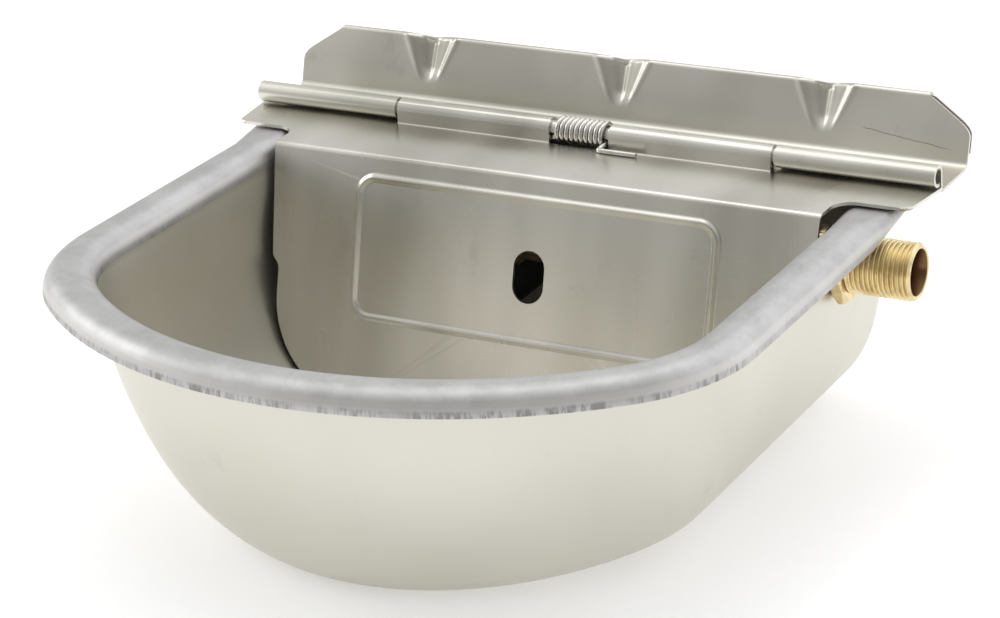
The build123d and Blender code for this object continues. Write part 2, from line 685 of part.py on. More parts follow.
with BuildPart() as floatBody:
    with BuildSketch(Plane.XY.offset(floatZ - floatHeight / 2)):
        with Locations((floatX, floatY)):
            RectangleRounded(floatLength, floatDepth, floatEdge)
    extrude(amount=floatHeight)
    fillet(floatBody.faces().filter_by(Axis.Z).edges(), floatEdge / 2)
    rodPiece(rodEnd, floatFace, rodRadius + threadGap, Mode.SUBTRACT)
floatBody.part.label = "float_body"
export_step(floatBody.part, "parts/float_body.step")
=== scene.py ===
import bpy
import bmesh
import math
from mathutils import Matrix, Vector


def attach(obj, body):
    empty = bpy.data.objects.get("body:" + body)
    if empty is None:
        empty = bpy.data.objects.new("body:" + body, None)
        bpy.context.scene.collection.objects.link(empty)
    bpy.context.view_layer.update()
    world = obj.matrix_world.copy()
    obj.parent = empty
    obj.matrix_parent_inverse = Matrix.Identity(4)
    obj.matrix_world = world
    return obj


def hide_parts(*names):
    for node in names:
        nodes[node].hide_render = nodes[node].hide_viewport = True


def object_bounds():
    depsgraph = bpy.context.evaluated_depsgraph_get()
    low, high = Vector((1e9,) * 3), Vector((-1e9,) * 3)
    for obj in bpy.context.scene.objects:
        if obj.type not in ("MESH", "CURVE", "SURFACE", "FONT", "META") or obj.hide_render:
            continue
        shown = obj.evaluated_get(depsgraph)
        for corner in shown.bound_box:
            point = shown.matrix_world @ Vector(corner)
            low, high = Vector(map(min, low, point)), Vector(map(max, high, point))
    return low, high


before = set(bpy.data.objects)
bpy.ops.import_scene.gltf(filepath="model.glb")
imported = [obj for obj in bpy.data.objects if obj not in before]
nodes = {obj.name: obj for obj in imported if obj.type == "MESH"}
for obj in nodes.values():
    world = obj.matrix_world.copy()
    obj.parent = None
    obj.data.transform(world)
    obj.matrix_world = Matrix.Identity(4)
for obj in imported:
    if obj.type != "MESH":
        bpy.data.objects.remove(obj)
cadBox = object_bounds()
print("frame loaded:", len(nodes), "pieces")

mm = 0.001
weldReach = 0.000002

# camera, metres and degrees
cameraPlan = {
    "place": (0.52119, -1.03718, 0.41247),
    "turn": (67.608, 2.858, 28.123),
    "lens": 115.47,
}


def makeCamera(plan):
    data = bpy.data.cameras.new("mainCamera")
    data.lens = plan["lens"]
    data.sensor_width = 36
    data.clip_end = 20
    camera = bpy.data.objects.new("mainCamera", data)
    camera.location = plan["place"]
    camera.rotation_euler = [math.radians(a) for a in plan["turn"]]
    bpy.context.collection.objects.link(camera)
    bpy.context.scene.camera = camera


makeCamera(cameraPlan)
print("camera placed")


# node helpers
def newMaterial(name):
    material = bpy.data.materials.new(name)
    material.use_nodes = True
    tree = material.node_tree
    tree.nodes.clear()
    out = tree.nodes.new("ShaderNodeOutputMaterial")
    shader = tree.nodes.new("ShaderNodeBsdfPrincipled")
    tree.links.new(shader.outputs[0], out.inputs[0])
    return material, tree, shader


def feed(tree, value, socket):
    # a number stays on the socket, an output is linked to it
    if isinstance(value, bpy.types.NodeSocket):
        tree.links.new(value, socket)
    else:
        socket.default_value = value


def placeOf(tree, stretch):
    # the piece's own place in metres, stretched along each axis
    coords = tree.nodes.new("ShaderNodeTexCoord")
    mapping = tree.nodes.new("ShaderNodeMapping")
    mapping.inputs["Scale"].default_value = stretch
    tree.links.new(coords.outputs["Object"], mapping.inputs["Vector"])
    return mapping.outputs[0]


def noiseOf(tree, stretch, detail=3, roughness=0.5):
    noise = tree.nodes.new("ShaderNodeTexNoise")
    noise.inputs["Scale"].default_value = 1
    noise.inputs["Detail"].default_value = detail
    noise.inputs["Roughness"].default_value = roughness
    tree.links.new(placeOf(tree, stretch), noise.inputs["Vector"])
    return noise.outputs["Fac"]


def rangeOf(tree, value, fromLow, fromHigh, toLow=0, toHigh=1):
    node = tree.nodes.new("ShaderNodeMapRange")
    node.interpolation_type = "SMOOTHSTEP"
    feed(tree, value, node.inputs["Value"])
    for key, number in (("From Min", fromLow), ("From Max", fromHigh),
                        ("To Min", toLow), ("To Max", toHigh)):
        node.inputs[key].default_value = number
    return node.outputs[0]


def mathOf(tree, operation, first, second=0.0):
    node = tree.nodes.new("ShaderNodeMath")
    node.operation = operation
    feed(tree, first, node.inputs[0])
    feed(tree, second, node.inputs[1])
    return node.outputs[0]


def mixOf(tree, share, first, second):
    node = tree.nodes.new("ShaderNodeMix")
    node.data_type = "RGBA"
    feed(tree, share, node.inputs[0])
    feed(tree, first, node.inputs[6])
    feed(tree, second, node.inputs[7])
    return node.outputs[2]


def bumpOf(tree, height, strength, distance, normal=None):
    node = tree.nodes.new("ShaderNodeBump")
    node.inputs["Strength"].default_value = strength
    node.inputs["Distance"].default_value = distance
    feed(tree, height, node.inputs["Height"])
    if normal is not None:
        tree.links.new(normal, node.inputs["Normal"])
    return node.outputs[0]


def axisOf(tree, output):
    # X, Y and Z of the piece's own place, or of its surface's direction
    coords = tree.nodes.new("ShaderNodeTexCoord")
    split = tree.nodes.new("ShaderNodeSeparateXYZ")
    tree.links.new(coords.outputs[output], split.inputs[0])
    return split.outputs


def bandOf(tree, value, low, lowFull, highFull, high):
    # one between lowFull and highFull, fading to nothing at low and high
    rise = rangeOf(tree, value, low, lowFull)
    fall = rangeOf(tree, value, highFull, high, 1, 0)
    return mathOf(tree, "MULTIPLY", rise, fall)


# satin sheet steel: cloudy tone, fine brushing, a few darker handling marks
handlingStretch = (55, 40, 48)


def satinSteel(plan):
    material, tree, shader = newMaterial(plan["name"])
    shader.inputs["Metallic"].default_value = 1
    clouds = noiseOf(tree, plan["clouds"], 2)
    colour = mixOf(tree, rangeOf(tree, clouds, 0.28, 0.72), plan["dark"], plan["light"])
    grain = noiseOf(tree, plan["grain"], 3, 0.6)
    roughness = rangeOf(tree, clouds, 0.3, 0.7, plan["roughness"] - 0.05, plan["roughness"] + 0.05)
    normal = bumpOf(tree, grain, plan["grainDepth"], 0.0002)
    handling = rangeOf(tree, noiseOf(tree, handlingStretch, 5, 0.65), 0.6, 0.74)
    colour = mixOf(tree, mathOf(tree, "MULTIPLY", handling, plan["marks"]), colour, plan["stain"])
    if "rim" in plan:
        colour, roughness = rimMarksAndPaintedLight(tree, plan["rim"], colour, roughness)
    if "scratch" in plan:
        colour = hairline(tree, plan["scratch"], colour)
    tree.links.new(colour, shader.inputs["Base Color"])
    tree.links.new(roughness, shader.inputs["Roughness"])
    tree.links.new(normal, shader.inputs["Normal"])
    return material


def rimMarksAndPaintedLight(tree, plan, colour, roughness):
    # short upright grinding marks on the lower half of the roll, scuffs on its crown, painted shade
    # darkening the front of the roll, and a painted highlight band across it
    place = axisOf(tree, "Object")
    band = bandOf(tree, place[2], *plan["band"])
    outside = rangeOf(tree, axisOf(tree, "Normal")[2], plan["facing"], -0.1)
    strokes = rangeOf(tree, noiseOf(tree, plan["strokes"], 3, 0.7), 0.44, 0.6)
    patches = rangeOf(tree, noiseOf(tree, plan["patches"], 2), 0.34, 0.56)
    frontOnly = rangeOf(tree, place[1], plan["rear"], plan["rear"] - plan["rearFade"])
    share = mathOf(tree, "MULTIPLY", mathOf(tree, "MULTIPLY", strokes, patches), band)
    share = mathOf(tree, "MULTIPLY", mathOf(tree, "MULTIPLY", share, frontOnly), outside)
    share = mathOf(tree, "MULTIPLY", share, plan["strength"])
    # painted shade: the front of the roll is turned a darker blue-grey, mottled at random, for the
    # dimmer light it catches
    roll = rangeOf(tree, place[2], *plan["rollRise"])
    roll = mathOf(tree, "MULTIPLY", roll, rangeOf(tree, place[1], *plan["rollRear"]))
    mottle = rangeOf(tree, noiseOf(tree, plan["mottle"], 5, 0.7), 0.35, 0.65)
    colour = mixOf(tree, mathOf(tree, "MULTIPLY", roll, plan["rollShadeShare"]), colour,
                   mixOf(tree, mottle, plan["rollShadeDark"], plan["rollShadeLight"]))
    # painted highlight: a lighter band around the roll at a set height
    paintedHighlightBand = bandOf(tree, place[2], *plan["paintedHighlightBand"])
    paintedHighlightBand = mathOf(tree, "MULTIPLY", paintedHighlightBand, plan["highlightShare"])
    colour = mixOf(tree, paintedHighlightBand, colour, plan["highlightTone"])
    scuffs = rangeOf(tree, noiseOf(tree, plan["scuffs"], 4, 0.7), 0.58, 0.72)
    crown = mathOf(tree, "MULTIPLY", scuffs, rangeOf(tree, place[2], *plan["crown"]))
    crown = mathOf(tree, "MULTIPLY", crown, plan["scuffShare"])
    colour = mixOf(tree, crown, colour, plan["scuff"])
    colour = mixOf(tree, share, colour, plan["tone"])
    roughness = mathOf(tree, "ADD", roughness,
                       mathOf(tree, "MULTIPLY", roll, plan["rollRoughness"]))
    return colour, roughness


def hairline(tree, plan, colour):
    # one thin scratch across the upright
    place = axisOf(tree, "Object")
    rise = mathOf(tree, "MULTIPLY", place[0], plan["slope"])
    wander = mathOf(tree, "MULTIPLY", noiseOf(tree, (180, 1, 1), 3), plan["wander"])
    line = mathOf(tree, "ADD", rise, wander)
    off = mathOf(tree, "SUBTRACT", mathOf(tree, "SUBTRACT", place[2], line), plan["height"])
    off = mathOf(tree, "ABSOLUTE", off)
    thin = rangeOf(tree, off, 0, plan["width"], 1, 0)
    span = mathOf(tree, "MULTIPLY", bandOf(tree, place[0], *plan["span"]),
                  rangeOf(tree, place[1], *plan["uprightOnly"]))
    share = mathOf(tree, "MULTIPLY", mathOf(tree, "MULTIPLY", thin, span), plan["strength"])
    return mixOf(tree, share, colour, plan["tone"])


bowlSteelPlan = {
    "name": "bowlSatinSteel",
    "dark": (0.66, 0.64, 0.57, 1), "light": (0.75, 0.73, 0.66, 1), "stain": (0.4, 0.38, 0.34, 1),
    "clouds": (9, 9, 7), "grain": (1400, 1400, 90), "grainDepth": 0.05,
    "roughness": 0.45, "marks": 0.16,
    "rim": {
        "band": (0.0041, 0.0046, 0.0063, 0.0074), "facing": 0.75, "rear": -0.12,
        "strokes": (560, 560, 90), "strength": 0.7,
        "tone": (0.14, 0.13, 0.12, 1), "scuff": (0.36, 0.36, 0.36, 1),
        # painted shade over the front of the roll, mottled between these two greys
        "rollShadeDark": (0.46, 0.46, 0.465, 1), "rollShadeLight": (0.56, 0.56, 0.565, 1),
        # painted highlight band on the roll: its tone and its heights
        "highlightTone": (0.72, 0.7, 0.66, 1), "paintedHighlightBand": (0.0062, 0.0074, 0.0084, 0.0098),
        "rollRise": (0.0042, 0.0047), "rollRear": (-0.03, -0.04), "crown": (0.008, 0.012),
        "rearFade": 0.06, "patches": (26, 26, 8), "mottle": (60, 60, 60), "scuffs": (300, 70, 300),
        "rollShadeShare": 0.85, "highlightShare": 0.55, "scuffShare": 0.3, "rollRoughness": 0.08,
    },
}
coverSteelPlan = {
    "name": "coverSatinSteel",
    "dark": (0.58, 0.56, 0.5, 1), "light": (0.76, 0.74, 0.68, 1), "stain": (0.3, 0.28, 0.25, 1),
    "clouds": (24, 7, 6), "grain": (120, 1500, 1500), "grainDepth": 0.05,
    "roughness": 0.27, "marks": 0.14,
}
plateSteelPlan = {
    "name": "plateSatinSteel",
    "dark": (0.57, 0.555, 0.485, 1), "light": (0.76, 0.735, 0.67, 1), "stain": (0.32, 0.3, 0.26, 1),
    "clouds": (15, 12, 16), "grain": (120, 1500, 1500), "grainDepth": 0.05,
    "roughness": 0.34, "marks": 0.2,
    "scratch": {"slope": -0.12, "height": 0.0331, "width": 0.00024, "wander": 0.0012,
                "strength": 0.75, "tone": (0.1, 0.09, 0.08, 1),
                "span": (0.098, 0.101, 0.128, 0.136), "uprightOnly": (-0.016, -0.014)},
}
wireSteelPlan = {
    "name": "springWireSteel",
    "dark": (0.66, 0.64, 0.6, 1), "light": (0.78, 0.76, 0.72, 1), "stain": (0.3, 0.28, 0.26, 1),
    "clouds": (90, 90, 90), "grain": (900, 900, 900), "grainDepth": 0.08,
    "roughness": 0.28, "marks": 0.3,
}
bowlSteel = satinSteel(bowlSteelPlan)
coverSteel = satinSteel(coverSteelPlan)
plateSteel = satinSteel(plateSteelPlan)
wireSteel = satinSteel(wireSteelPlan)


# turned brass: lathe rings round the valve's axis, dull patches, and painted shade inside the
# inlet's bore
brassPlan = {
    "name": "turnedBrass",
    # bright and dull brass tones; bore is the painted shade inside the inlet's bore
    "bright": (0.84, 0.7, 0.4, 1), "dull": (0.68, 0.52, 0.26, 1), "bore": (0.2, 0.115, 0.055, 1),
    "roughness": 0.3, "ringDepth": 0.12, "boreRadius": (0.0083, 0.0086),
    "boreStart": (0.112, 0.114), "axis": (-0.0667, -0.0065),
    "patches": (160, 160, 160), "rings": (5200, 60, 60),
}


def turnedBrass(plan):
    material, tree, shader = newMaterial(plan["name"])
    shader.inputs["Metallic"].default_value = 1
    patches = noiseOf(tree, plan["patches"], 4, 0.6)
    colour = mixOf(tree, rangeOf(tree, patches, 0.4, 0.68), plan["bright"], plan["dull"])
    rings = noiseOf(tree, plan["rings"], 2)
    place = axisOf(tree, "Object")
    aside = mathOf(tree, "POWER", mathOf(tree, "SUBTRACT", place[1], plan["axis"][0]), 2)
    above = mathOf(tree, "POWER", mathOf(tree, "SUBTRACT", place[2], plan["axis"][1]), 2)
    radius = mathOf(tree, "SQRT", mathOf(tree, "ADD", aside, above))
    # painted shade: the inside of the inlet's bore is turned dark brown
    boreShadeShare = mathOf(tree, "MULTIPLY", rangeOf(tree, radius, *plan["boreRadius"], 1, 0),
                    rangeOf(tree, place[0], *plan["boreStart"]))
    colour = mixOf(tree, boreShadeShare, colour, plan["bore"])
    tree.links.new(colour, shader.inputs["Base Color"])
    tree.links.new(rangeOf(tree, patches, 0.3, 0.7, plan["roughness"], plan["roughness"] + 0.16),
                   shader.inputs["Roughness"])
    tree.links.new(bumpOf(tree, rings, plan["ringDepth"], 0.0001), shader.inputs["Normal"])
    return material


# moulded and pressed soft finishes
softCloudStretch = (30, 30, 30)


def mouldedFinish(plan):
    material, tree, shader = newMaterial(plan["name"])
    shader.inputs["Metallic"].default_value = 0
    shader.inputs["Specular IOR Level"].default_value = plan["gloss"]
    speckle = noiseOf(tree, plan["grain"], 4, 0.6)
    clouds = noiseOf(tree, softCloudStretch, 3)
    colour = mixOf(tree, rangeOf(tree, clouds, 0.35, 0.65), plan["dark"], plan["light"])
    tree.links.new(colour, shader.inputs["Base Color"])
    roughness = rangeOf(tree, speckle, 0.3, 0.7,
                        plan["roughness"] - 0.06, plan["roughness"] + 0.06)
    tree.links.new(roughness, shader.inputs["Roughness"])
    tree.links.new(bumpOf(tree, speckle, plan["bump"], 0.0003), shader.inputs["Normal"])
    return material


rubberPlan = {
    "name": "blackRubber", "dark": (0.018, 0.018, 0.018, 1), "light": (0.034, 0.034, 0.033, 1),
    "grain": (900, 900, 900), "roughness": 0.6, "bump": 0.2, "gloss": 0.4,
}
fibrePlan = {
    "name": "pressedFibre", "dark": (0.2, 0.11, 0.07, 1), "light": (0.3, 0.18, 0.12, 1),
    "grain": (1200, 300, 300), "roughness": 0.75, "bump": 0.4, "gloss": 0.3,
}
nylonPlan = {
    "name": "naturalNylon", "dark": (0.68, 0.66, 0.6, 1), "light": (0.76, 0.74, 0.69, 1),
    "grain": (700, 700, 700), "roughness": 0.42, "bump": 0.1, "gloss": 0.5,
}
floatPlan = {
    "name": "mouldedFloatPlastic", "dark": (0.022, 0.022, 0.024, 1),
    "light": (0.035, 0.035, 0.038, 1), "grain": (1500, 1500, 1500), "roughness": 0.45,
    "bump": 0.25, "gloss": 0.5,
}
brass = turnedBrass(brassPlan)
rubber = mouldedFinish(rubberPlan)
fibre = mouldedFinish(fibrePlan)
nylon = mouldedFinish(nylonPlan)
floatPlastic = mouldedFinish(floatPlan)
print("materials made")

nodeFinish = {
    "bowl_body": bowlSteel, "splash_cover": coverSteel, "rear_hinge_plate": plateSteel,
    "hinge_pin": wireSteel, "hinge_spring": wireSteel, "lever_pivot_pin": wireSteel,
    "valve_body": brass, "valve_plunger": brass, "barrel_cap": brass, "inlet_lock_nut": brass,
    "float_lever": brass, "float_rod": brass, "rod_lock_nut": brass, "float_lock_nut": brass,
    "valve_seat": nylon, "plunger_seal": rubber, "inlet_gasket": rubber, "inlet_washer": fibre,
    "float_body": floatPlastic,
}
for nodeName, finish in nodeFinish.items():
    piece = nodes[nodeName]
    piece.data.materials.clear()
    piece.data.materials.append(finish)
print("finishes given to", len(nodeFinish), "pieces")


# mesh helpers
crispAngle = 35


def meshPiece(name, points, faces, finish, smoothAngle=crispAngle):
    mesh = bpy.data.meshes.new(name)
    mesh.from_pydata([tuple(p) for p in points], [], faces)
    mesh.validate()
    piece = bpy.data.objects.new(name, mesh)
    bpy.context.collection.objects.link(piece)
    mesh.materials.append(finish)
    tidyMesh(mesh, smoothAngle)
    return piece


def tidyMesh(mesh, smoothAngle):
    # merges doubled points, turns the faces outwards and keeps the edges crisp
    work = bmesh.new()
    work.from_mesh(mesh)
    bmesh.ops.remove_doubles(work, verts=work.verts, dist=weldReach)
    bmesh.ops.recalc_face_normals(work, faces=work.faces)
    work.to_mesh(mesh)
    work.free()
    mesh.shade_smooth()
    mesh.set_sharp_from_angle(angle=math.radians(smoothAngle))


def gridFaces(rows, columns, start=0, closed=False):
    # quads of a grid of points laid row after row
    faces = []
    for r in range(rows - 1):
        for c in range(columns if closed else columns - 1):
            a = start + r * columns + c
            b = start + r * columns + (c + 1) % columns
            faces.append((a, b, b + columns, a + columns))
    return faces


def levelShading(piece):
    # broad flat faces keep their own shading beside small rounds
    weigh = piece.modifiers.new("levelShading", "WEIGHTED_NORMAL")
    weigh.keep_sharp = True
    weigh.weight = 100


edgeSegments = 2
edgeAngle = 40


def softenEdges(piece, width):
    # a small round on every crisp edge, so that cut edges catch the light
    bevel = piece.modifiers.new("edgeRound", "BEVEL")
    bevel.width = width
    bevel.segments = edgeSegments
    bevel.limit_method = "ANGLE"
    bevel.angle_limit = math.radians(edgeAngle)
    bevel.harden_normals = False


# the hinge: axis, roll and sheet
hingePlan = {
    "axis": (-38.2, 18.6), "outer": 4.05, "sheet": 1.2, "bend": 1.2, "curl": 285,
    "end": 140.0, "outerStart": 78.6, "bendSteps": 6, "curlSteps": 40, "samePoint": 0.05,
}


def arcPoints(centre, radius, fromAngle, toAngle, steps):
    return [(centre[0] + radius * math.cos(a), centre[1] + radius * math.sin(a))
            for a in (math.radians(fromAngle + (toAngle - fromAngle) * i / steps)
                      for i in range(steps + 1))]


def spineNormals(spine):
    # left-hand normal at each point of a line in the YZ plane
    normals = []
    for i in range(len(spine)):
        a = spine[max(i - 1, 0)]
        b = spine[min(i + 1, len(spine) - 1)]
        run = Vector((b[0] - a[0], b[1] - a[1])).normalized()
        normals.append(Vector((-run.y, run.x)))
    return normals


def sheetSolid(spine, columnsAt, thickness, shiftAt=None):
    # a sheet that follows the spine: two skins and their edges
    normals = spineNormals(spine)
    points = []
    for side in (0.5, -0.5):
        for i, (y, z) in enumerate(spine):
            for x in columnsAt(i):
                place = Vector((x, y + normals[i].x * thickness * side,
                                z + normals[i].y * thickness * side))
                if shiftAt is not None:
                    place += shiftAt(x, i, side)
                points.append(place * mm)
    rows = len(spine)
    columns = len(columnsAt(0))
    skin = rows * columns
    faces = gridFaces(rows, columns) + gridFaces(rows, columns, skin)
    for r in range(rows - 1):
        for c in (0, columns - 1):
            a = r * columns + c
            faces.append((a, a + columns, a + columns + skin, a + skin))
    for c in range(columns - 1):
        for r in (0, rows - 1):
            a = r * columns + c
            faces.append((a, a + 1, a + 1 + skin, a + skin))
    return points, faces


# rear hinge plate: strip, foot bend, upright with darts, hem, and the outer knuckles
platePlan = {
    "half": 140.0, "stripZ": 11.8, "stripFront": -33.65, "top": 36.4, "lean": 16.5,
    "footBend": 3.5, "hemBend": 1.1, "hemLength": 19.0,
    "cutX": 18.0, "cutZ": 11.5, "cutRound": 2.6, "fixedColumns": 104.0,
    "dartPlaces": (-83.0, 0.0, 83.0), "dartHalf": 11.0, "dartDrop": 19.0, "dartDepth": 3.1,
    "dartRoom": 2.1, "roomGrowth": 0.29, "dartReach": 1.25, "dartNarrow": 0.3, "footShare": 0.35,
    "hemClear": 0.64, "stripRows": (-25.0, -18.0), "bendSteps": 10, "uprightSteps": 26,
    "hemSteps": 10, "dartSteps": 22, "dartSpread": 1.3,
    "cornerColumns": (104, 110, 116, 122, 128, 134, 140), "plainColumns": (26, 38, 50, 62),
    "dartSection": ((-1.25, 0), (-1.03, -0.09), (-0.12, 0.92), (0, 1), (0.3, 0.52), (0.72, 0.36),
                    (1.03, -0.09), (1.25, 0)),
    "dartDip": 0.9, "edgeRound": 0.16, "crisp": 40,
}


def plateSpine(plan):
    # line through the middle of the sheet, with the rows where the foot bend ends and where the hem
    # fold starts and ends
    lean = math.radians(plan["lean"])
    half = hingePlan["sheet"] / 2
    upY, upZ = math.sin(lean), math.cos(lean)
    hemY = -half - plan["hemBend"] * (1 + math.cos(lean))
    hemZ = plan["top"] - half - plan["hemBend"] * (1 - math.sin(lean))
    footY = hemY - (hemZ - plan["stripZ"]) * math.tan(lean)
    setBack = plan["footBend"] * math.tan((math.pi / 2 - lean) / 2)
    bendEnd = (footY + upY * setBack, plan["stripZ"] + upZ * setBack)
    spine = [(y, plan["stripZ"]) for y in (plan["stripFront"], *plan["stripRows"])]
    spine += arcPoints((footY - setBack, plan["stripZ"] + plan["footBend"]), plan["footBend"],
                       -90, -plan["lean"], plan["bendSteps"])
    bendRows = len(spine)
    reach = math.hypot(hemY - bendEnd[0], hemZ - bendEnd[1])
    steps = plan["uprightSteps"]
    for i in range(1, steps + 1):
        spine.append((bendEnd[0] + upY * reach * i / steps, bendEnd[1] + upZ * reach * i / steps))
    foldStart = len(spine)
    centre = (hemY + plan["hemBend"] * math.cos(lean), hemZ - plan["hemBend"] * math.sin(lean))
    spine += arcPoints(centre, plan["hemBend"], 180 - plan["lean"], -plan["lean"],
                       plan["bendSteps"])[1:]
    foldEnd = len(spine)
    backY, backZ = spine[-1]
    for i in range(1, plan["hemSteps"] + 1):
        share = plan["hemLength"] * i / plan["hemSteps"]
        spine.append((backY - upY * share, backZ - upZ * share))
    return spine, bendRows, foldStart, foldEnd


def plateColumns(plan):
    # close together across the darts, wider on the plain metal between them
    columns = []
    steps = plan["dartSteps"]
    for place in plan["dartPlaces"]:
        columns += [place + plan["dartHalf"] * plan["dartSpread"] * i / steps
                    for i in range(-steps, steps + 1)]
    columns += [place * side for side in (1, -1)
                for place in plan["cornerColumns"] + plan["plainColumns"]]
    return sorted(set(columns))


def dartProfile(off, section):
    # depth across a dart: plain flank on the left, stepped flank on the right
    for (a, low), (b, high) in zip(section, section[1:]):
        if a <= off <= b:
            share = (off - a) / (b - a)
            return low + (high - low) * share * share * (3 - 2 * share)
    return 0


def rearPlate(plan):
    spine, bendRows, foldStart, foldEnd = plateSpine(plan)
    base = plateColumns(plan)
    lean = math.radians(plan["lean"])
    back = Vector((0, math.cos(lean), -math.sin(lean)))
    fixed = plan["fixedColumns"]

    def halfWidth(z):
        # the upper corners are cut off, with the lower end of the cut rounded
        slope = plan["cutX"] / plan["cutZ"]
        short = plan["cutZ"] - (plan["top"] - z)
        if short > plan["cutRound"]:
            return plan["half"] - slope * short
        blend = max(0, short + plan["cutRound"]) / (2 * plan["cutRound"])
        return plan["half"] - slope * plan["cutRound"] * blend ** 2

    def columnsAt(i):
        half = halfWidth(spine[i][1]) if i >= bendRows else plan["half"]
        scale = (half - fixed) / (plan["half"] - fixed)
        return [x if abs(x) <= fixed else math.copysign(fixed + (abs(x) - fixed) * scale, x)
                for x in base]

    def shiftAt(x, i, side):
        if i < bendRows:
            return Vector()
        # a dart goes no deeper than the hem behind it leaves room for
        down = max(0, (plan["top"] - spine[i][1]) / math.cos(lean))
        room = max(0, -plan["hemClear"] - spine[i][0]) / math.cos(lean)
        if i < foldStart:
            room = plan["dartRoom"] + plan["roomGrowth"] * down
        taper = 1 - down / plan["dartDrop"]
        if taper <= 0:
            return Vector()
        shift = Vector()
        for place in plan["dartPlaces"]:
            narrow = plan["dartNarrow"] + (1 - plan["dartNarrow"]) * taper
            off = (x - place) / (plan["dartHalf"] * narrow)
            if abs(off) < plan["dartReach"]:
                flank = max(0, 1 - abs(off))
                foot = min(1, taper / plan["footShare"])
                foot = foot * foot * (3 - 2 * foot)
                depth = plan["dartDepth"] * foot * (0.5 + 0.5 * taper)
                shift += back * min(depth * dartProfile(off, plan["dartSection"]), room)
                if foldStart - 2 <= i < foldEnd:
                    shift.z -= plan["dartDip"] * flank * (1 if i >= foldStart else 0.5)
        return shift

    points, faces = sheetSolid(spine, columnsAt, hingePlan["sheet"], shiftAt)
    # the plate stays in front of the wall it is fixed to, and below its own top edge
    for point in points:
        point.y = min(point.y, 0)
        point.z = min(point.z, plan["top"] * mm)
    for side in (1, -1):
        more, moreFaces = knuckleSolid(side * hingePlan["outerStart"], side * hingePlan["end"],
                                       1, plan["stripZ"], plan["stripFront"])
        faces += [tuple(k + len(points) for k in face) for face in moreFaces]
        points += more
    piece = meshPiece("rearHingePlate", points, faces, plateSteel, plan["crisp"])
    softenEdges(piece, plan["edgeRound"] * mm)
    levelShading(piece)
    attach(piece, "bowl")
    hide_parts("rear_hinge_plate")


def knuckleSolid(start, end, legSide, leafZ, leafStart):
    # the leaf turns up into a leg and curls on round the pin
    middle = hingePlan["outer"] - hingePlan["sheet"] / 2
    bend = hingePlan["bend"]
    axisY, axisZ = hingePlan["axis"]
    legY = axisY + legSide * middle
    spine = [(leafStart, leafZ)]
    turn = arcPoints((legY + legSide * bend, leafZ + bend), bend, -90, -90 - legSide * 90,
                     hingePlan["bendSteps"])
    # the bend's first point is left out where the leaf already ends on it
    apart = abs(turn[0][0] - leafStart) > hingePlan["samePoint"]
    spine += turn if apart else turn[1:]
    first = 0 if legSide > 0 else 180
    spine += arcPoints((axisY, axisZ), middle, first, first + legSide * hingePlan["curl"],
                       hingePlan["curlSteps"])
    low, high = min(start, end), max(start, end)
    return sheetSolid(spine, lambda i: (low, high), hingePlan["sheet"])


rearPlate(platePlan)
print("rear hinge plate built")

# splash cover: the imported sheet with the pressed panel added
panelPlan = {
    "front": -76.3, "top": 14.0, "lean": 15.0, "sheet": 1.2,
    "topHalf": 75.2, "footHalf": 74.8, "topDrop": 6.6, "footDrop": 63.2,
    "corner": 9.0, "slope": 2.0, "height": 1.0, "inner": 0.35, "root": 0.6, "beadSteps": 8,
    "crisp": 28,
    "slotDrop": 37.2, "slotWidth": 12.6, "slotHeight": 19.5, "slotReach": 4,
}


def baffleFrame(plan, lift):
    lean = math.radians(plan["lean"])
    normal = Vector((0, -math.cos(lean), math.sin(lean)))
    up = Vector((0, math.sin(lean), math.cos(lean)))
    origin = Vector((0, plan["front"], plan["top"])) + normal * lift
    return lambda x, y, h: (origin + Vector((x, 0, 0)) + up * y + normal * h) * mm


def roundedLoop(plan, inset):
    # the panel's outline, drawn in by an inset
    top, foot = -plan["topDrop"], -plan["footDrop"]
    corners = [(plan["topHalf"], top, 0), (-plan["topHalf"], top, 90),
               (-plan["footHalf"], foot, 180), (plan["footHalf"], foot, 270)]
    radius = plan["corner"] - inset
    loop = []
    for x, y, angle in corners:
        cx = x - math.copysign(plan["corner"], x)
        cy = y + (-plan["corner"] if angle < 180 else plan["corner"])
        loop += arcPoints((cx, cy), radius, angle, angle + 90, 8)
    return loop


def panelBody(plan, lift, name, finish):
    # a closed body: a soft bead along the edge, and a slightly raised field inside it
    at = baffleFrame(plan, lift)
    steps = plan["beadSteps"]
    levels = [(0, -plan["root"])]
    for k in range(2 * steps + 1):
        wave = 0.5 - 0.5 * math.cos(math.pi * k / steps)
        low = 0 if k < steps else plan["inner"]
        levels.append((plan["slope"] * k / steps, low + (plan["height"] - low) * wave))
    loops = [roundedLoop(plan, level[0]) for level in levels]
    points = [at(x, y, levels[i][1]) for i, loop in enumerate(loops) for x, y in loop]
    count = len(loops[0])
    faces = gridFaces(len(levels), count, 0, True)
    faces.append(tuple(range(count)))
    faces.append(tuple(range((len(levels) - 1) * count, len(levels) * count)))
    return meshPiece(name, points, faces, finish)


def slotBody(plan):
    at = baffleFrame(plan, 0)
    radius = plan["slotWidth"] / 2
    reach = plan["slotHeight"] / 2 - radius
    loop = arcPoints((0, -plan["slotDrop"] + reach), radius, 0, 180, 16)
    loop += arcPoints((0, -plan["slotDrop"] - reach), radius, 180, 360, 16)
    points = [at(x, y, h) for h in (-plan["slotReach"], plan["slotReach"])
              for x, y in loop]
    count = len(loop)
    faces = gridFaces(2, count, 0, True) + [tuple(range(count)), tuple(range(count, 2 * count))]
    return meshPiece("slotCutter", points, faces, coverSteel)


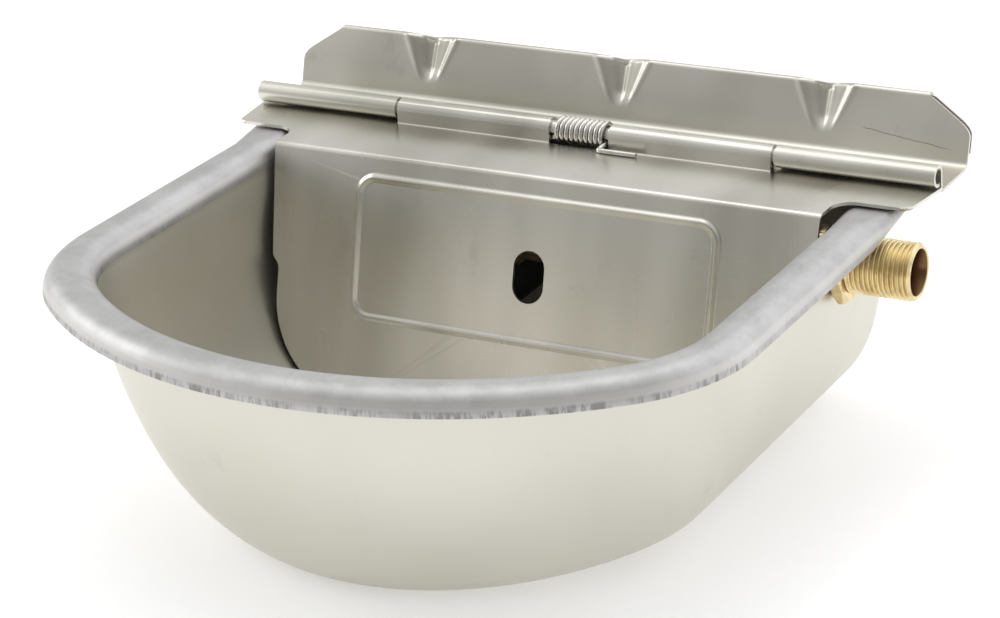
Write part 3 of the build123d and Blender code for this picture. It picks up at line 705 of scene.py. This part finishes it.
def splashCover(plan):
    source = nodes["splash_cover"]
    piece = bpy.data.objects.new("splashCover", source.data.copy())
    bpy.context.collection.objects.link(piece)
    tidyMesh(piece.data, crispAngle)
    tools = [("UNION", panelBody(plan, 0, "panelFront", coverSteel)),
             ("DIFFERENCE", panelBody(plan, -plan["sheet"], "panelBack", coverSteel)),
             ("DIFFERENCE", slotBody(plan))]
    for operation, tool in tools:
        cut = piece.modifiers.new("press", "BOOLEAN")
        cut.operation = operation
        cut.solver = "EXACT"
        cut.object = tool
        held = bpy.context.evaluated_depsgraph_get()
        result = bpy.data.meshes.new_from_object(piece.evaluated_get(held))
        piece.modifiers.clear()
        piece.data = result
        bpy.data.objects.remove(tool)
    piece.data.materials.clear()
    piece.data.materials.append(coverSteel)
    tidyMesh(piece.data, plan["crisp"])
    levelShading(piece)
    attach(piece, "cover")
    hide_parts("splash_cover")
    return piece


cover = splashCover(panelPlan)
print("splash cover pressed:", len(cover.data.polygons), "faces")

# torsion spring: round wire coil on the pin, one leg lying on the cover
springPlan = {
    "wire": 0.94, "radius": 4.15, "start": -9.9, "end": 10.9, "turns": 10, "steps": 20,
    "legY": -46.2, "legStart": 9.8, "legEnd": 25.5, "legZ": 15.0,
}


def torsionSpring(plan):
    axisY, axisZ = hingePlan["axis"]
    route = []
    total = plan["turns"] * plan["steps"] + plan["steps"] * 2 // 5
    for i in range(total + 1):
        angle = 2 * math.pi * i / plan["steps"]
        x = plan["start"] + (plan["end"] - plan["start"]) * i / total
        route.append((x, axisY + plan["radius"] * math.cos(angle),
                      axisZ - plan["radius"] * math.sin(angle)))
    first, last = plan["legStart"], plan["legEnd"]
    legY, legZ = plan["legY"], plan["legZ"]
    route += [(first + 0.3, legY + 1.6, legZ + 0.3), (first, legY + 0.2, legZ),
              (first + 1.6, legY, legZ), (last - 4, legY, legZ), (last, legY, legZ)]
    curve = bpy.data.curves.new("torsionSpring", "CURVE")
    curve.dimensions = "3D"
    spline = curve.splines.new("NURBS")
    spline.points.add(len(route) - 1)
    for point, place in zip(spline.points, route):
        point.co = (*(c * mm for c in place), 1)
    spline.order_u = 3
    spline.use_endpoint_u = True
    curve.bevel_depth = plan["wire"] * mm
    curve.bevel_resolution = 4
    curve.resolution_u = 3
    curve.use_fill_caps = True
    curve.materials.append(wireSteel)
    piece = bpy.data.objects.new("torsionSpring", curve)
    bpy.context.collection.objects.link(piece)
    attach(piece, "cover")
    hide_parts("hinge_spring")


torsionSpring(springPlan)
print("spring coiled")

# valve body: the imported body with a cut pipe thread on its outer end
threadPlan = {
    "axis": (-66.7, -6.5), "start": 120.2, "end": 144.0, "radius": 10.4775, "depth": 1.162,
    "pitch": 1.814, "bore": 8.2, "boreChamfer": 0.5, "boreRow": 8, "endChamfer": 1.1,
    "endSlope": 1.1, "runOut": 1.2, "flank": 1.25, "crest": 0.12, "around": 72, "perTurn": 10,
    "crisp": 50,
}


def lathePoint(x, radius, angle, axis):
    return Vector((x, axis[0] + radius * math.cos(angle), axis[1] + radius * math.sin(angle))) * mm


def threadedInlet(plan):
    source = nodes["valve_body"]
    mesh = source.data.copy()
    work = bmesh.new()
    work.from_mesh(mesh)
    bmesh.ops.remove_doubles(work, verts=work.verts, dist=weldReach)
    bmesh.ops.bisect_plane(work, geom=work.verts[:] + work.edges[:] + work.faces[:],
                           plane_co=(plan["start"] * mm, 0, 0), plane_no=(1, 0, 0),
                           clear_outer=True)
    work.to_mesh(mesh)
    work.free()
    stations = []
    steps = int((plan["end"] - plan["start"]) / plan["pitch"] * plan["perTurn"])
    for i in range(steps + 1):
        stations.append(plan["start"] + (plan["end"] - plan["start"]) * i / steps)
    points = []
    for x in stations:
        fromEnd = plan["end"] - x
        fade = min(1, (x - plan["start"]) / plan["runOut"])
        limit = plan["radius"] - plan["endChamfer"] + fromEnd * plan["endSlope"]
        for k in range(plan["around"]):
            turn = k / plan["around"]
            phase = (x / plan["pitch"] - turn) % 1
            ridge = (0.5 - abs(phase - 0.5)) * 2 * plan["flank"] - plan["crest"]
            ridge = max(0, min(1, ridge))
            ridge = ridge * ridge * (3 - 2 * ridge) * fade
            radius = plan["radius"] - plan["depth"] * (1 - ridge) * fade
            points.append(lathePoint(x, min(radius, limit), 2 * math.pi * turn, plan["axis"]))
    inner = ((plan["end"], plan["bore"] + plan["boreChamfer"]),
             (plan["end"] - plan["boreChamfer"], plan["bore"]),
             (plan["end"] - plan["boreRow"], plan["bore"]), (plan["start"], plan["bore"]))
    for x, radius in inner:
        for k in range(plan["around"]):
            points.append(lathePoint(x, radius, 2 * math.pi * k / plan["around"], plan["axis"]))
    faces = gridFaces(len(stations) + len(inner), plan["around"], 0, True)
    thread = meshPiece("inletThread", points, faces, brass, plan["crisp"])
    piece = bpy.data.objects.new("valveBody", mesh)
    bpy.context.collection.objects.link(piece)
    mesh.shade_smooth()
    mesh.set_sharp_from_angle(angle=math.radians(crispAngle))
    mesh.materials.clear()
    mesh.materials.append(brass)
    for made in (piece, thread):
        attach(made, "bowl")
        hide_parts("valve_body")


threadedInlet(threadPlan)
print("inlet thread cut")

# lock nut: hexagon with turned corners
nutPlan = {
    "axis": (-66.7, -6.5), "start": 115.0, "thick": 4.8, "flats": 26.0, "bore": 9.95,
    "corner": 0.96, "cornerSlope": 1.73, "rows": (0, 0.25, 0.5, 0.8, 1.2, 1.7), "around": 96,
    "crisp": 22,
}


def lockNut(plan):
    stations = [*plan["rows"], *(plan["thick"] - row for row in reversed(plan["rows"]))]
    points = []
    for x in stations:
        edge = min(x, plan["thick"] - x)
        for k in range(plan["around"]):
            angle = 2 * math.pi * k / plan["around"]
            fromFlat = math.radians(math.degrees(angle) % 60 - 30)
            hexRadius = plan["flats"] / 2 / math.cos(fromFlat)
            limit = plan["flats"] / 2 * plan["corner"] + edge * plan["cornerSlope"]
            points.append(lathePoint(plan["start"] + x, min(hexRadius, limit), angle, plan["axis"]))
    for x in (plan["thick"], 0):
        for k in range(plan["around"]):
            angle = 2 * math.pi * k / plan["around"]
            points.append(lathePoint(plan["start"] + x, plan["bore"], angle, plan["axis"]))
    rows = len(stations) + 2
    faces = gridFaces(rows, plan["around"], 0, True)
    last = (rows - 1) * plan["around"]
    for k in range(plan["around"]):
        n = (k + 1) % plan["around"]
        faces.append((last + k, last + n, n, k))
    piece = meshPiece("inletLockNut", points, faces, brass, plan["crisp"])
    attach(piece, "bowl")
    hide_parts("inlet_lock_nut")


lockNut(nutPlan)
print("lock nut turned")

# floor, world and lamps
studioPlan = {
    "floorDrop": 0.0005, "floorSize": 6.0, "floorColour": (0.86, 0.86, 0.86, 1), "floorLift": 0.36,
    "floorRoughness": 0.9,
    "roomTone": (0.74, 0.74, 0.74, 1), "dimTone": (0.28, 0.275, 0.265, 1),
    "backTone": (1.32, 1.32, 1.36, 1), "dimSide": (0.25, -0.96, 0.1), "dimRange": (0.45, 0.98),
    "backSide": (0.45, 0.82, 0.42), "backRange": (0.64, 0.88),
}


def makeFloor(plan):
    size = plan["floorSize"]
    z = cadBox[0][2] - plan["floorDrop"]
    mesh = bpy.data.meshes.new("studioFloor")
    corners = [(-size, -size, z), (size, -size, z), (size, size, z), (-size, size, z)]
    mesh.from_pydata(corners, [], [(0, 1, 2, 3)])
    floor = bpy.data.objects.new("studioFloor", mesh)
    bpy.context.collection.objects.link(floor)
    material, tree, shader = newMaterial("floorPaper")
    shader.inputs["Base Color"].default_value = plan["floorColour"]
    shader.inputs["Roughness"].default_value = plan["floorRoughness"]
    rays = tree.nodes.new("ShaderNodeLightPath")
    seen = mathOf(tree, "MAXIMUM", rays.outputs["Is Camera Ray"], rays.outputs["Is Glossy Ray"])
    seen = mathOf(tree, "MAXIMUM", seen, rays.outputs["Is Transmission Ray"])
    shader.inputs["Emission Color"].default_value = (1, 1, 1, 1)
    glow = mathOf(tree, "MULTIPLY", seen, plan["floorLift"])
    tree.links.new(glow, shader.inputs["Emission Strength"])
    mesh.materials.append(material)


def makeWorld(plan):
    # an even pale room, dimmer in front on the left and brighter behind
    world = bpy.data.worlds.new("studioRoom")
    bpy.context.scene.world = world
    world.use_nodes = True
    tree = world.node_tree
    coords = tree.nodes.new("ShaderNodeTexCoord")
    tone = plan["roomTone"]
    for part in ("dim", "back"):
        side, sideTone = plan[part + "Side"], plan[part + "Tone"]
        dot = tree.nodes.new("ShaderNodeVectorMath")
        dot.operation = "DOT_PRODUCT"
        dot.inputs[1].default_value = Vector(side).normalized()
        tree.links.new(coords.outputs["Generated"], dot.inputs[0])
        tone = mixOf(tree, rangeOf(tree, dot.outputs["Value"], *plan[part + "Range"]),
                     tone, sideTone)
    tree.links.new(tone, tree.nodes["Background"].inputs[0])


# lamps, metres and watts
lampPlans = (
    {"name": "overheadSoftbox", "place": (-0.2, 0.1, 1.5), "aim": (0, -0.1, 0),
     "size": (1.4, 1.0), "power": 5},
    {"name": "leftSoftbox", "place": (-1.5, -0.3, 0.8), "aim": (0, -0.15, 0),
     "size": (0.9, 0.9), "power": 6},
)


def areaLamp(plan):
    data = bpy.data.lights.new(plan["name"], "AREA")
    data.shape = "RECTANGLE"
    data.size, data.size_y = plan["size"]
    data.energy = plan["power"]
    lamp = bpy.data.objects.new(plan["name"], data)
    lamp.location = plan["place"]
    aim = lamp.location - Vector(plan["aim"])
    lamp.rotation_euler = aim.to_track_quat("Z", "Y").to_euler()
    bpy.context.collection.objects.link(lamp)


makeFloor(studioPlan)
makeWorld(studioPlan)
for lampPlan in lampPlans:
    areaLamp(lampPlan)
print("floor, room and lamps set")

scene = bpy.context.scene
scene.view_settings.view_transform = "Standard"
